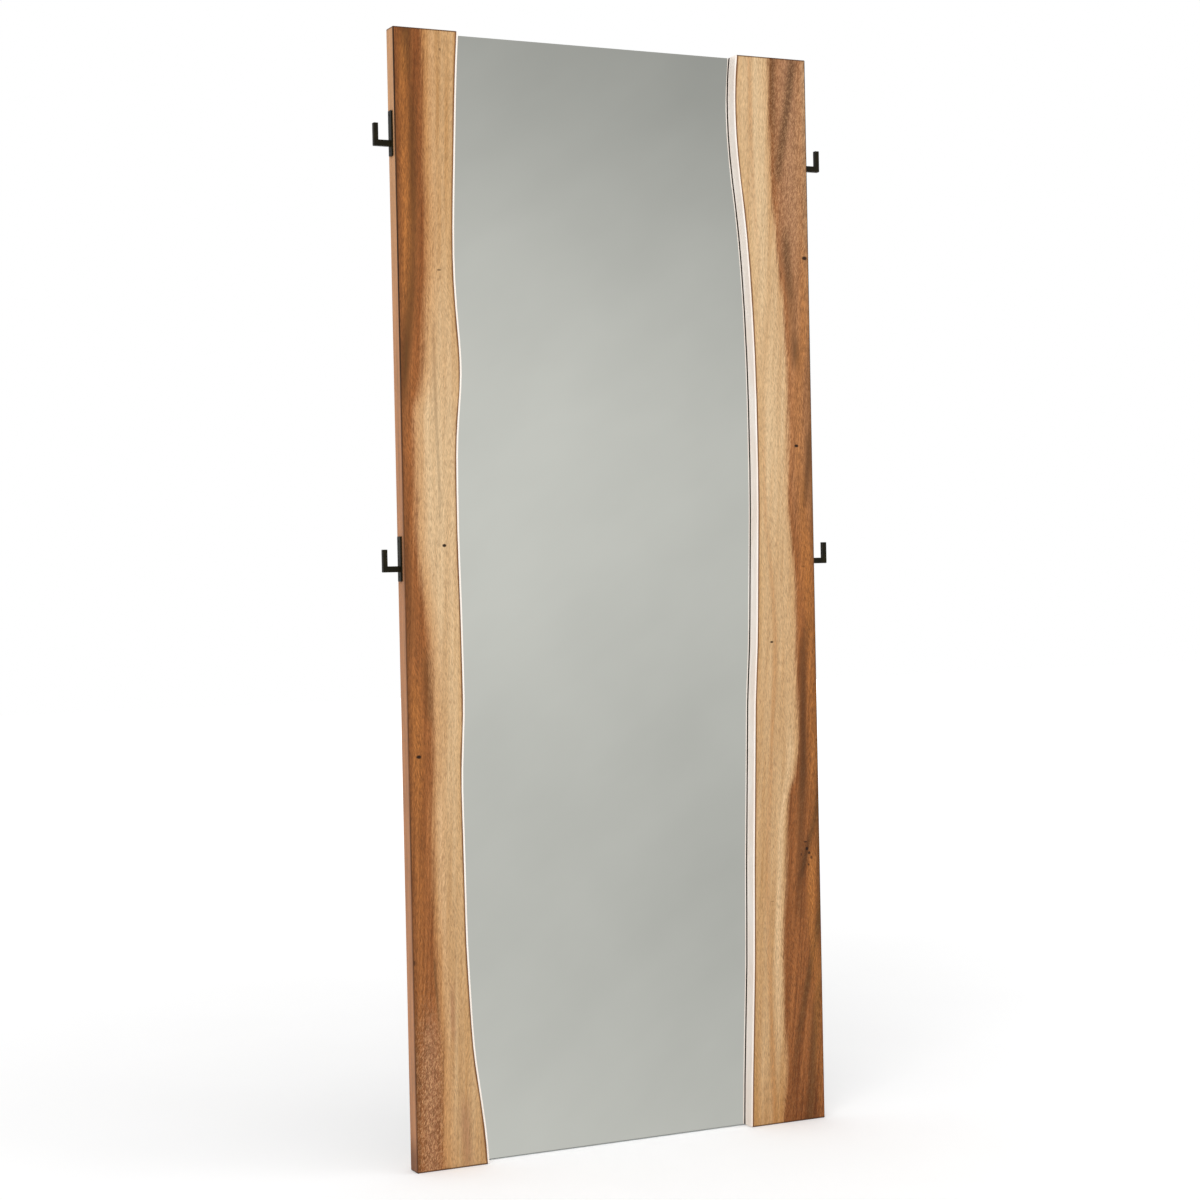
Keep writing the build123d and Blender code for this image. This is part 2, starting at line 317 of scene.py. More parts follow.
class Bench(Nodes):
    """The nodes of one material, and the coordinates that its patterns read."""

    def __init__(self, name: str) -> None:
        """Start a material with the object's own coordinates, in metres.

        Args:
            name: the material's name.
        """
        self.material = bpy.data.materials.new(name)
        self.material.use_nodes = True
        super().__init__(self.material.node_tree, "ShaderNodeOutputMaterial")
        self.place = self.node("ShaderNodeTexCoord").outputs["Object"]
        parts = self.node("ShaderNodeSeparateXYZ", None, {0: self.place})
        self.x, self.y, self.z = (Value(self, parts.outputs[axis]) for axis in range(3))

    def noise(
        self,
        per_metre: tuple[float, float, float],
        detail: float = 3.0,
        rough: float = 0.55,
        turn: float = 0.0,
        shift: float = 0.0,
    ) -> Value:
        """Smooth random pattern about 0.5.

        Args:
            per_metre: how many features a metre holds along each axis.
            detail: finer layers.
            rough: how strong the finer layers are.
            turn: lean of the pattern about the Y axis, in degrees.
            shift: place in the pattern, to make another one.

        Returns:
            The pattern, mostly from 0.2 to 0.8.
        """
        turned = self.node("ShaderNodeMapping", None, {0: self.place, 2: (0.0, math.radians(turn), 0.0)})
        moved = {0: turned.outputs[0], 1: (shift, shift, shift), 3: per_metre}
        spread = self.node("ShaderNodeMapping", None, moved).outputs[0]
        sockets = {"Vector": spread, "Scale": 1.0, "Detail": detail, "Roughness": rough}
        return Value(self, self.node("ShaderNodeTexNoise", None, sockets).outputs[0])

    def plain(self, colour: Paint) -> Colour:
        """Start a colour that further mixing can build on."""
        node = self.node("ShaderNodeMix", {"data_type": "RGBA"}, {0: 0.0, 6: colour, 7: colour})
        return Colour(self, node.outputs[2])

    def bump(self, height: Value, depth: float, strength: float = 1.0) -> NodeSocket:
        """Turn a height, 0 to 1, into a normal.

        Args:
            height: the height pattern.
            depth: how deep a height of 1 is, in metres.
            strength: how much of it shows.

        Returns:
            The normal.
        """
        sockets = {"Strength": strength, "Distance": depth, "Height": height}
        return self.node("ShaderNodeBump", None, sockets).outputs[0]

    def surface(self, **sockets: object) -> Material:
        """Close the material with one Principled shader.

        Args:
            **sockets: values or links by socket name, with _ for a space.

        Returns:
            The material.
        """
        inputs = {name.replace("_", " "): value for name, value in sockets.items()}
        self.close(self.node("ShaderNodeBsdfPrincipled", None, inputs))
        return self.material


def along(widths: Sequence[float], unit: float, inset: float = 0.0) -> Points:
    """Spread widths evenly along a plank.

    Args:
        widths: the widths from the foot up, in mm.
        unit: the length that counts as 1, in mm.
        inset: what is added to each width.

    Returns:
        Height as a share of the plank's height, and width as a share of unit, of each.
    """
    step = 1 / (len(widths) - 1)
    return [(place * step, (width + inset) / unit) for place, width in enumerate(widths)]


@dataclass(frozen=True)
class Streak:
    """A dark or bright streak that runs along a plank: points of height, place and strength."""

    tone: Grain
    half_width: float
    path: tuple[tuple[float, float, float], ...]

    def whole(self, height: float) -> list[tuple[float, float, float]]:
        """Carry the path on, faded out, to both ends of a plank.

        Args:
            height: the plank's height in mm.

        Returns:
            The path from the plank's top to its foot.
        """
        whole = list(self.path)
        if whole[0][0] < height:
            whole.insert(0, (height, whole[0][1], 0.0))
        if whole[-1][0] > 0:
            whole.append((0, whole[-1][1], 0.0))
        return whole


@dataclass(frozen=True)
class Knot:
    """A small dark pin knot: place, half width and half height, in mm, and strength."""

    x: float
    z: float
    wide: float = 2.6
    tall: float = 1.6
    strength: float = 0.9


@dataclass(frozen=True)
class PlankWood:
    """Oiled live-edge plank: dark heartwood outside, pale sapwood along the live edge."""

    name: str
    side: int
    height: float
    half_width: float
    front: float
    widths: tuple[float, ...]
    boundary: Points
    softness: float
    streaks: tuple[Streak, ...]
    veins: tuple[Streak, ...]
    knots: tuple[Knot, ...]
    mottle: Points
    sap_tone: Points
    heart_tone: Points
    outer_edge_dark: float
    fringe: float
    lean: float
    span: float = 170.0
    streak_sway: float = 5.0
    golden_margin: tuple[float, float] = (24.0, 2.0)
    glue_line: tuple[float, float] = (3.8, 1.0)
    outer_edge_reach: tuple[float, float] = (13.0, 3.0)
    side_face: tuple[float, float] = (1.1, 0.3)
    arris_width: tuple[float, float] = (2.6, 1.2)
    arris_depth: tuple[float, float] = (2.8, 1.2)
    shaded_depth: tuple[float, float] = (6.0, 1.5)
    foot_shade_rise: tuple[float, float] = (75.0, 20.0)
    end_grain: tuple[float, float] = (3.2, 1.4)
    fibre_depth: float = 0.0002

    def share_across(self, x: float) -> float:
        """Place of an x in mm as a share of the plank's span, from its outer edge in."""
        return (self.half_width - self.side * x) / self.span

    def share_up(self, z: float) -> float:
        """Height in mm as a share of the plank's height."""
        return min(max(z / self.height, 0.0), 1.0)

    def material(self) -> Material:
        """Build the wood."""
        return PlankPainter(self).paint()


class PlankPainter(Bench):
    """Paints one plank from patterns that all its wood shares."""

    def __init__(self, wood: PlankWood) -> None:
        """Draw the shared patterns.

        Args:
            wood: how the plank looks.
        """
        super().__init__(wood.name)
        self.wood = wood
        side, lean = wood.side, wood.lean
        self.across = (wood.half_width * MM - self.x * float(side)) / (wood.span * MM)
        self.up = self.z / (wood.height * MM)
        self.wave = self.noise((22, 22, 7), 4.0, shift=side * 3.0) - MIDDLE
        self.line = self.noise((130, 130, 2.6), 2.0, 0.5, turn=lean, shift=side * 7.0)
        self.cloud = self.noise((26, 26, 4), 3.0, 0.5, shift=side * 9.0)
        self.grain = self.noise((260, 260, 6), 2.0, 0.6, turn=lean, shift=side * 11.0).step(0.28, 0.72)
        # Short fibres lean one way and then the other, as interlocked grain does
        patch = self.noise((34, 34, 5), 2.0, shift=side * 2.0).step(0.42, 0.58)
        rise = self.noise((640, 640, 84), 2.0, 0.8, turn=11.0, shift=1.0)
        fall = self.noise((640, 640, 84), 2.0, 0.8, turn=-8.0, shift=6.0)
        self.fibre = (rise * patch + fall * (1.0 - patch)).step(0.3, 0.7)

    def _levels(self, points: Points) -> Value:
        """Read a curve given by heights in mm and its value at each."""
        return self.up.curve([(self.wood.share_up(z), level) for z, level in points])

    def _within(self, across: Value, edges: tuple[float, float]) -> Value:
        """Fade from 0 at the first distance in mm to 1 at the second."""
        return across.step(edges[0] / self.wood.span, edges[1] / self.wood.span)

    def _near_front(self, depths: tuple[float, float]) -> Value:
        """Fade from 0 at the first depth in mm behind the front face to 1 at the second."""
        return self.y.step(*((self.wood.front + depth) * MM for depth in depths))

    def paint(self) -> Material:
        """Lay the wood's colours over one another and close the material.

        Returns:
            The material.
        """
        wood = self.wood
        gap = self._past_boundary()
        soft = wood.softness / wood.span
        colour = self._heartwood().mix(self._sapwood(gap), gap.step(-soft, soft))
        colour = colour.mix(Grain.RUSSET.paint, abs(gap + soft * 0.8).step(soft * 1.5, 0.0) * 0.2)
        contrast = gap.step(soft, -soft) * 0.28 + 0.44
        level = (self.fibre - MIDDLE) * contrast + (self.line - MIDDLE) * 0.14
        level = level + (self.grain - MIDDLE) * 0.08 + 1.0
        pore = self.noise((460, 460, 110), 1.0, 0.5, shift=4.0).step(0.57, 0.70)
        colour = colour.shade(level).mix(Grain.PORE.paint, pore * 0.26)
        for knot in wood.knots:
            wide = (self.x - knot.x * MM) / (knot.wide * MM)
            tall = (self.z - knot.z * MM) / (knot.tall * MM)
            spot = (wide * wide + tall * tall).step(2.6, 0.5)
            colour = colour.mix(Grain.KNOT.paint, spot * knot.strength)
        colour = self._outer_side(self._live_edge(colour, level), level)
        far, near = (MIDDLE - depth / wood.height for depth in wood.end_grain)
        ends = abs(self.up - MIDDLE).step(far, near)
        return self.surface(
            Base_Color=colour.mix(Grain.END.paint, ends * 0.85),
            Roughness=self.fibre * 0.18 + 0.46,
            Normal=self.bump(self.fibre - pore * 0.8, wood.fibre_depth, 0.5),
            Specular_IOR_Level=0.14,
        )

    def _past_boundary(self) -> Value:
        """Measure how far inside the sapwood a place is, up to a ragged edge.

        Returns:
            The distance as a share of the span, below 0 in the heartwood.
        """
        wood, span = self.wood, self.wood.span
        edge = self._levels([(z, wood.share_across(x)) for z, x in wood.boundary])
        ragged = self.wave * (8.0 / span) + (self.line - MIDDLE) * (9.0 / span)
        ragged = ragged + (self.fibre - MIDDLE) * (2.4 / span) + (self.grain - MIDDLE) * (3.0 / span)
        return self.across - edge + ragged

    def _sapwood(self, gap: Value) -> Colour:
        """Colour the pale sapwood.

        Args:
            gap: how far inside the sapwood a place is.

        Returns:
            The colour.
        """
        wood = self.wood
        band = self.noise((75, 75, 1.8), 2.0, 0.6, turn=wood.lean * 0.3, shift=wood.side * 13.0)
        shade = self._levels(wood.sap_tone) + (self.cloud - MIDDLE) * 0.5
        shade = shade + (band - MIDDLE) + (self.line - MIDDLE) * 0.4
        sap = self.plain(Grain.SAP_DEEP.paint).mix(Grain.SAP_PALE.paint, shade)
        soft = wood.softness / wood.span
        stain = gap.step(soft * 3.0, soft * 0.3) * (self.line * 0.8 + 0.3) * wood.fringe
        return self._streaked(sap, wood.veins).mix(Grain.STAIN.paint, stain)

    def _heartwood(self) -> Colour:
        """Colour the dark heartwood, its streaks, and its pale strokes where the figure is mottled.

        Returns:
            The colour.
        """
        shade = self._levels(self.wood.heart_tone) + (self.cloud - MIDDLE) * 0.5
        shade = shade + (self.line - MIDDLE) * 0.9 + (self.grain - MIDDLE) * 0.3
        heart = self.plain(Grain.HEART_DEEP.paint).mix(Grain.HEART_WARM.paint, shade)
        heart = self._streaked(heart, self.wood.streaks)
        mottled = self._levels(self.wood.mottle)
        stroke = self.noise((560, 560, 190), 2.0, 0.7, turn=-24.0)
        heart = heart.mix(Grain.MOTTLE_DEEP.paint, stroke.step(0.54, 0.42) * mottled * 0.5)
        return heart.mix(Grain.MOTTLE_PALE.paint, stroke.step(0.47, 0.60) * mottled * 0.85)

    def _streaked(self, colour: Colour, streaks: Iterable[Streak]) -> Colour:
        """Draw soft streaks along the grain, frayed by the fibres.

        Args:
            colour: the wood that they are drawn into.
            streaks: the streaks, lowest layer first.

        Returns:
            The streaked colour.
        """
        wood = self.wood
        frayed = self.line * 0.5 + self.fibre * 0.6 + self.grain * 0.3 + 0.2
        place = self.across + self.wave * (wood.streak_sway / wood.span)
        for streak in streaks:
            path = streak.whole(wood.height)
            centre = self._levels([(z, wood.share_across(x)) for z, x, _ in path])
            power = self._levels([(z, strength) for z, _, strength in path])
            reach = abs(place - centre) * (wood.span / streak.half_width)
            colour = colour.mix(streak.tone.paint, (reach.step(1.3, 0.1) * power * frayed).most(0.0))
        return colour

    def _live_edge(self, colour: Colour, level: Value) -> Colour:
        """Add the golden margin and the glue line along the metal band.

        Args:
            colour: the wood's colour.
            level: light and dark of its fibres.

        Returns:
            The colour with both.
        """
        inward = self.up.curve(along(self.wood.widths, self.wood.span)) - self.across
        golden = self._within(inward, self.wood.golden_margin) * (self.cloud.step(0.3, 0.6) * 0.25 + 0.05)
        colour = colour.mix(self.plain(Grain.GOLDEN.paint).shade(level), golden)
        glue = self._within(inward, self.wood.glue_line) * (self.line * 0.4 + 0.75)
        return colour.mix(Grain.GLUE.paint, glue)

    def _outer_side(self, colour: Colour, level: Value) -> Colour:
        """Darken the front face along its outer edge, and cover the outer side with straighter, paler wood
        that has painted light towards its top and painted shade at its foot, next to the front face and
        along the arris.

        Args:
            colour: the wood's colour.
            level: light and dark of its fibres.

        Returns:
            The colour with its outer side.
        """
        wood = self.wood
        # The front face is made darker along its outer edge
        outer_edge_dark = self._within(self.across, wood.outer_edge_reach) * wood.outer_edge_dark
        colour = colour.mix(self.plain(Grain.OUTER_EDGE_DARK.paint).shade(level), outer_edge_dark)
        # Painted light: the outer side is made paler towards its top, where more lamp light falls
        flank = self.plain(Grain.FLANK.paint).mix(Grain.FLANK_TOP_LIT.paint, self.up.step(0.55, 1.0) * 0.6)
        # Painted shade: the outer side darkens towards its foot, next to the floor
        foot = self.z.step(*(height * MM for height in wood.foot_shade_rise)) * 0.8
        flank = flank.mix(Grain.FLANK_FOOT_SHADE.paint, foot)
        # Painted shade: a dark strip on the outer side, next to the front arris
        shaded = self._near_front(wood.shaded_depth) * (self.line * 0.6 + 0.2)
        flank = flank.mix(Grain.FLANK_FRONT_SHADE.paint, shaded)
        flank = flank.shade(self.line * 0.9 + (self.fibre - MIDDLE) * 0.3 + 0.55)
        colour = colour.mix(flank, self._within(self.across, wood.side_face))
        # Painted shade: a dark line along the outer arris, stronger towards the top
        arris = self._within(self.across, wood.arris_width) * self._near_front(wood.arris_depth)
        return colour.mix(Grain.ARRIS_SHADE.paint, arris * (self.line + self.up.step(0.55, 0.8) * 0.5))


@dataclass(frozen=True)
class BandMetal:
    """Pale satin metal strip, rolled lengthwise, with painted shade along its back edge, where it meets
    the seal.
    """

    seal: float
    name: str = "band_metal"

    def material(self) -> Material:
        """Build the finish.

        Returns:
            The material.
        """
        bench = Bench(self.name)
        rolled = bench.noise((900, 900, 4), 3.0, 0.6)
        smudge = bench.noise((30, 30, 9), 3.0, 0.5)
        colour = bench.plain(screen(250, 236, 224)).mix(screen(255, 246, 238), smudge.step(0.3, 0.7))
        # Painted shade: the band's back edge is darkened where it meets the seal and the glass, widening
        # the dark line there
        back_edge_shade = bench.y.step((self.seal - 0.9) * MM, (self.seal - 0.5) * MM)
        colour = colour.mix(screen(40, 27, 18), back_edge_shade)
        return bench.surface(
            Base_Color=colour.shade(rolled * 0.08 + 0.96),
            Metallic=(1.0 - back_edge_shade) * 0.35,
            Roughness=rolled * 0.16 + back_edge_shade * 0.3 + 0.38,
            Normal=bench.bump(rolled, 0.00004),
        )


@dataclass(frozen=True)
class MirrorGlass:
    """Silvered sheet: mirror in front, green glass at the edges, grey paint at the back."""

    silver: float
    back: float
    name: str = "mirror"

    def material(self) -> Material:
        """Build the finish.

        Returns:
            The material.
        """
        bench = Bench(self.name)
        depth = bench.y.step((self.silver + 0.05) * MM, (self.silver + 0.3) * MM)
        painted = bench.y.step((self.back - 0.9) * MM, (self.back - 0.6) * MM)
        cloud = bench.noise((120, 120, 120), 3.0)
        colour = bench.plain(screen(250, 250, 248)).mix(screen(96, 140, 124), depth)
        colour = colour.mix(bench.plain(screen(96, 92, 90)).shade(cloud * 0.3 + 0.85), painted)
        return bench.surface(
            Base_Color=colour,
            Metallic=1.0 - depth,
            Roughness=depth * 0.25 + painted * 0.3,
        )


@dataclass(frozen=True)
class DarkMetal:
    """Dark bronze powder coat, a little lighter in soft random clouds, with a fine fleck."""

    name: str = "dark_metal"

    def material(self) -> Material:
        """Build the finish.

        Returns:
            The material.
        """
        bench = Bench(self.name)
        fleck = bench.noise((1500, 1500, 1500), 2.0, 0.6)
        cloud = bench.noise((60, 60, 60), 3.0)
        colour = bench.plain(screen(20, 17, 5)).mix(screen(34, 29, 12), cloud.step(0.4, 0.75))
        return bench.surface(
            Base_Color=colour.shade(fleck * 0.5 + 0.75),
            Metallic=0.1,
            Specular_IOR_Level=0.12,
            Roughness=fleck * 0.2 + 0.42,
            Normal=bench.bump(fleck, 0.00005),
        )


@dataclass(frozen=True)
class ZincSteel:
    """Bright zinc plate with a faint clouding."""

    name: str = "zinc_steel"

    def material(self) -> Material:
        """Build the finish.

        Returns:
            The material.
        """
        bench = Bench(self.name)
        cloud = bench.noise((300, 300, 300), 3.0)
        scratch = bench.noise((1800, 1800, 90), 2.0)
        colour = bench.plain(screen(176, 178, 178)).mix(screen(208, 206, 198), cloud.step(0.35, 0.7))
        return bench.surface(
            Base_Color=colour,
            Metallic=0.9,
            Roughness=scratch * 0.2 + 0.26,
            Normal=bench.bump(scratch, 0.00002),
        )


@dataclass(frozen=True)
class PanelBoard:
    """Black painted fibreboard with a faint roller stipple and chalky edges."""

    back: float
    name: str = "panel_board"

    def material(self) -> Material:
        """Build the finish.

        Returns:
            The material.
        """
        bench = Bench(self.name)
        stipple = bench.noise((900, 900, 900), 2.0, 0.7)
        cloud = bench.noise((9, 9, 7), 4.0)
        colour = bench.plain(screen(30, 29, 28)).mix(screen(50, 47, 44), cloud.step(0.35, 0.7))
        fibre = bench.y.step((self.back - 0.2) * MM, (self.back - 0.6) * MM)
        colour = colour.mix(screen(86, 66, 48), fibre * 0.55)
        return bench.surface(
            Base_Color=colour.shade(stipple * 0.4 + 0.8),
            Roughness=stipple * 0.2 + 0.5,
            Normal=bench.bump(stipple, 0.00012),
        )


@dataclass(frozen=True)
class Softwood:
    """Planed softwood with flat rings that run along the batten."""

    name: str = "batten_wood"

    def material(self) -> Material:
        """Build the finish.

        Returns:
            The material.
        """
        bench = Bench(self.name)
        bend = bench.noise((2.2, 14, 14), 2.0)
        ring = bench.node(
            "ShaderNodeTexNoise",
            {"noise_dimensions": "1D"},
            {"W": (bench.z * 150.0 + bench.y * 60.0 + bend * 9.0), "Scale": 1.0, "Detail": 1.0},
        )
        late = Value(bench, ring.outputs[0]).step(0.45, 0.66)
        fibre = bench.noise((12, 700, 700), 3.0)
        colour = bench.plain(screen(224, 192, 142)).mix(screen(190, 140, 84), late)
        return bench.surface(
            Base_Color=colour.shade(fibre * 0.24 + 0.88),
            Roughness=fibre * 0.15 + 0.58,
            Normal=bench.bump(fibre + late * 0.4, 0.00015),
        )


@dataclass(frozen=True)
class Rubber:
    """Matte rubber or foam of one colour with a fine grain."""

    name: str
    tint: tuple[float, float, float]
    cell: float

    def material(self) -> Material:
        """Build the finish.

        Returns:
            The material.
        """
        bench = Bench(self.name)
        grain = bench.noise((self.cell, self.cell, self.cell), 3.0, 0.7)
        dust = bench.noise((80, 80, 80), 3.0)
        colour = bench.plain(screen(*self.tint)).shade(grain * 0.5 + dust * 0.3 + 0.6)
        return bench.surface(
            Base_Color=colour,
            Roughness=dust * 0.2 + 0.7,
            Specular_IOR_Level=0.15,
            Normal=bench.bump(grain, 0.0001),
        )


def dress(nodes: Iterable[str], material: Material) -> None:
    """Give carried-over CAD nodes their finish.

    Args:
        nodes: names of the nodes.
        material: the finish.
    """
    for name in nodes:
        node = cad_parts[name]
        if not node.material_slots:
            node.data.materials.append(material)
        for place in node.material_slots:
            place.material = material


def finish_piece(
    form: BMesh, name: str, body: Body, material: Material, stands_for: Sequence[str]
) -> None:
    """Close one new piece: normals, smooth faces, object, body, slot and the CAD node that it stands for.

    Args:
        form: the piece's mesh, in place, in metres.
        name: the piece's name.
        body: the body that it rides on.
        material: its finish.
        stands_for: the CAD nodes that it replaces.
    """
    bmesh.ops.remove_doubles(form, verts=form.verts, dist=MERGE)
    bmesh.ops.recalc_face_normals(form, faces=form.faces)
    mesh = bpy.data.meshes.new(name)
    form.to_mesh(mesh)
    form.free()
    mesh.materials.append(material)
    piece = bpy.data.objects.new(name, mesh)
    bpy.context.scene.collection.objects.link(piece)
    mesh.shade_smooth()
    mesh.set_sharp_from_angle(angle=SHARP)
    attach(piece, body.value)
    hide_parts(*stands_for)
    log.info("%s: %d faces on %s", name, len(mesh.polygons), body.value)


@dataclass
class Planks:
    """The two live-edge planks."""

    height: float = 1980.0
    half_width: float = 410.0
    front: float = -31.0
    left_widths: tuple[float, ...] = (
        132, 123, 110, 104, 100, 99, 98, 98, 103, 103, 102,
        100, 100, 103, 111, 106, 102, 104, 108, 112, 118,
    )
    right_widths: tuple[float, ...] = (
        155, 152, 148, 144, 142, 140, 137, 134, 131, 125, 122,
        119, 117, 117, 118, 121, 126, 134, 145, 150, 144,
    )

    def dress(self) -> None:
        """Give each plank its own wood."""
        common = {"height": self.height, "half_width": self.half_width, "front": self.front}
        left = PlankWood(
            name="left_plank_wood",
            side=-1,
            widths=self.left_widths,
            boundary=(
                (0, -359), (52, -359), (177, -359), (271, -362), (365, -365), (490, -368), (615, -366),
                (709, -363), (802, -363), (896, -366), (960, -371), (1040, -381), (1120, -386),
                (1300, -386), (1355, -376), (1400, -369), (1511, -362), (1605, -356), (1824, -356),
                (1900, -355), (1980, -355),
            ),
            softness=10.0,
            outer_edge_dark=0.5,
            fringe=0.75,
            lean=-3.0,
            streaks=LEFT_STREAKS,
            veins=LEFT_VEINS,
            knots=LEFT_KNOTS,
            mottle=((0, 0.7), (150, 0.75), (240, 0.5), (380, 0.05), (1980, 0.0)),
            sap_tone=((0, 0.35), (350, 0.4), (600, 0.65), (1200, 0.85), (1600, 0.5), (1980, 0.25)),
            heart_tone=((0, 0.6), (400, 0.5), (850, 0.5), (1300, 0.6), (1980, 0.4)),
            **common,
        )
        right = PlankWood(
            name="right_plank_wood",
            side=1,
            widths=self.right_widths,
            boundary=(
                (0, 320), (40, 324), (115, 329), (302, 328), (365, 330), (459, 336), (560, 341),
                (610, 347), (655, 360), (720, 366), (771, 366), (865, 365), (940, 368), (990, 368),
                (1074, 362), (1167, 354), (1230, 356), (1292, 358), (1417, 358), (1511, 354),
                (1605, 344), (1699, 336), (1790, 332), (1886, 330), (1980, 330),
            ),
            softness=6.0,
            outer_edge_dark=0.1,
            fringe=0.35,
            lean=-6.0,
            streaks=RIGHT_STREAKS,
            veins=RIGHT_VEINS,
            knots=RIGHT_KNOTS,
            mottle=((0, 0.1), (1400, 0.05), (1600, 0.25), (1700, 0.4), (1880, 0.4), (1980, 0.3)),
            sap_tone=((0, 0.15), (350, 0.5), (800, 0.5), (1300, 0.8), (1980, 0.85)),
            heart_tone=((0, 0.25), (300, 0.45), (600, 0.35), (1050, 0.6), (1800, 0.75), (1980, 0.65)),
            **common,
        )
        dress(["left_stile"], left.material())
        dress(["right_stile"], right.material())
        log.info("planks: two woods")


LEFT_STREAKS = (
    Streak(Grain.OLIVE, 13.0, ((1980, -386, 0.7), (1900, -388, 0.45), (1860, -386, 0.0))),
    Streak(Grain.OLIVE, 13.0, (
        (1880, -379, 0.3), (1800, -378, 0.6), (1700, -379, 0.65), (1605, -382, 0.55), (1520, -388, 0.65),
        (1450, -395, 0.7), (1400, -402, 0.8), (1355, -406, 0.6), (1300, -408, 0.2), (1200, -408, 0.0),
    )),
    Streak(Grain.RUSSET, 12.0, (
        (1850, -364, 0.6), (1600, -365, 0.7), (1500, -370, 0.4), (1400, -372, 0.0),
    )),
    Streak(Grain.AMBER, 12.0, (
        (1860, -394, 0.5), (1650, -394, 0.5), (1500, -400, 0.2), (1420, -404, 0.0),
    )),
    Streak(Grain.UMBER, 12.0, (
        (1150, -404, 0.0), (1060, -404, 0.35), (980, -402, 0.4), (900, -404, 0.2), (850, -404, 0.0),
    )),
    Streak(Grain.OLIVE, 12.0, (
        (940, -374, 0.0), (890, -373, 0.45), (830, -370, 0.55), (780, -369, 0.2), (740, -369, 0.0),
    )),
    Streak(Grain.AMBER, 16.0, (
        (900, -396, 0.0), (800, -396, 0.5), (700, -394, 0.45), (560, -396, 0.3), (300, -398, 0.2),
        (200, -398, 0.0),
    )),
    Streak(Grain.GREY, 22.0, ((330, -376, 0.0), (240, -378, 0.5), (120, -380, 0.65), (0, -382, 0.6))),
    Streak(Grain.UMBER, 3.5, (
        (400, -372, 0.0), (360, -370, 0.7), (300, -367, 0.8), (255, -364, 0.2), (200, -364, 0.0),
    )),
)
LEFT_VEINS = (
    Streak(Grain.UMBER, 3.5, (
        (1500, -346, 0.0), (1430, -347, 0.3), (1170, -341, 0.25), (1080, -340, 0.0),
    )),
    Streak(Grain.GREY, 7.0, ((350, -338, 0.0), (271, -338, 0.6), (190, -336, 0.0))),
    Streak(Grain.GREY, 12.0, ((150, -318, 0.0), (70, -317, 0.6), (0, -314, 0.3))),
    Streak(Grain.RUSSET, 8.0, ((1980, -288, 0.8), (1930, -292, 0.4), (1870, -296, 0.0))),
    Streak(Grain.PALE, 8.0, (
        (1980, -340, 0.3), (1500, -345, 0.0), (700, -352, 0.0), (600, -354, 0.6), (300, -350, 0.4),
        (150, -346, 0.1),
    )),
)
LEFT_KNOTS = (
    Knot(-334, 1564, 3.2, 1.4, 0.55),
    Knot(-335, 1086, 3.0, 2.2, 0.97),
    Knot(-324, 1946, 1.5, 2.0, 0.5),
    Knot(-293, 1952, 1.8, 2.6, 0.6),
    Knot(-391, 721, 3.6, 2.4, 0.97),
    Knot(-408, 365, 2.2, 3.6, 0.8),
    Knot(-316, 540, 1.3, 3.0, 0.35),
)
RIGHT_STREAKS = (
    Streak(Grain.ASH, 44.0, (
        (1980, 378, 0.3), (1760, 384, 0.5), (1560, 388, 0.35), (1400, 390, 0.3), (1200, 388, 0.25),
        (1000, 390, 0.0),
    )),
    Streak(Grain.ASH, 11.0, ((1980, 408, 0.9), (1730, 408, 0.7), (1500, 408, 0.4), (1340, 408, 0.0))),
    Streak(Grain.UMBER, 12.0, (
        (1980, 340, 0.8), (1900, 338, 0.75), (1840, 339, 0.45), (1760, 342, 0.15), (1700, 344, 0.0),
    )),
    Streak(Grain.GREY, 30.0, (
        (1980, 372, 0.75), (1850, 368, 0.65), (1700, 366, 0.55), (1600, 366, 0.35), (1500, 366, 0.0),
    )),
    Streak(Grain.UMBER, 12.0, (
        (1980, 382, 0.5), (1949, 378, 0.75), (1860, 364, 0.75), (1761, 348, 0.55), (1720, 342, 0.0),
    )),
    Streak(Grain.UMBER, 12.0, (
        (1680, 362, 0.1), (1617, 363, 0.7), (1549, 369, 0.6), (1480, 374, 0.3), (1440, 378, 0.65),
        (1380, 380, 0.0),
    )),
    Streak(Grain.UMBER, 9.0, (
        (1330, 402, 0.0), (1261, 402, 0.65), (1200, 396, 0.7), (1150, 388, 0.5), (1100, 380, 0.0),
    )),
    Streak(Grain.UMBER, 12.0, (
        (980, 398, 0.0), (930, 394, 0.35), (880, 382, 0.6), (800, 379, 0.7), (700, 377, 0.75),
        (640, 376, 0.7), (552, 370, 0.5), (470, 366, 0.45), (396, 362, 0.35), (340, 358, 0.0),
    )),
    Streak(Grain.UMBER, 8.0, (
        (620, 410, 0.5), (590, 406, 0.9), (520, 386, 0.85), (459, 370, 0.6), (420, 362, 0.0),
    )),
    Streak(Grain.OLIVE, 9.0, (
        (410, 412, 0.7), (370, 404, 0.9), (300, 388, 0.8), (209, 368, 0.6), (120, 350, 0.3),
        (60, 342, 0.1), (0, 340, 0.1),
    )),
    Streak(Grain.OLIVE, 12.0, (
        (270, 406, 0.4), (240, 402, 0.85), (160, 392, 0.75), (52, 382, 0.6), (0, 378, 0.6),
    )),
    Streak(Grain.RUSSET, 9.0, (
        (660, 352, 0.3), (560, 346, 0.75), (400, 337, 0.8), (200, 334, 0.7), (100, 334, 0.4),
        (0, 330, 0.3),
    )),
    Streak(Grain.AMBER, 12.0, (
        (520, 394, 0.1), (470, 392, 0.7), (380, 390, 0.6), (290, 396, 0.5), (200, 400, 0.3),
        (0, 404, 0.2),
    )),
    Streak(Grain.AMBER, 14.0, (
        (1700, 400, 0.2), (1500, 398, 0.5), (1300, 380, 0.35), (1050, 392, 0.5), (900, 400, 0.5),
        (700, 400, 0.6), (600, 396, 0.2),
    )),
)
